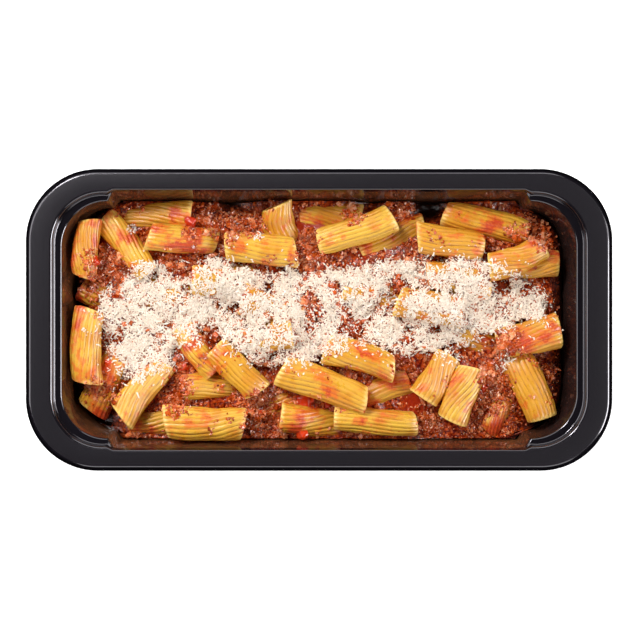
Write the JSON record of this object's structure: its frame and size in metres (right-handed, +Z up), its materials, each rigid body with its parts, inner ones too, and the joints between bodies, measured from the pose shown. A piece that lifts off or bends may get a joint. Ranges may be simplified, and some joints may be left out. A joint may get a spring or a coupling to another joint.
{
  "type": "plastic tray meal",
  "caption": "Chilled ready meal of rigatoni bolognese under grated hard cheese, filling a rectangular black plastic tray with a flat sealing flange.",
  "frame": {"origin": "bottom centre of the tray's base", "axes": "+X along the tray, +Y towards the far long side in the picture, +Z up out of the food"},
  "size_m": [0.272, 0.14, 0.042],
  "materials": {
    "tray_plastic": "black moulded plastic, satin on the flange and glossy on the walls",
    "pasta_in_sauce": "moist food: golden ridged pasta in a brown-red meat sauce, off-white grated cheese"
  },
  "bodies": {
    "root": {"tray": "tray_plastic", "rigatoni_bolognese": "pasta_in_sauce"}
  },
  "joints": []
}
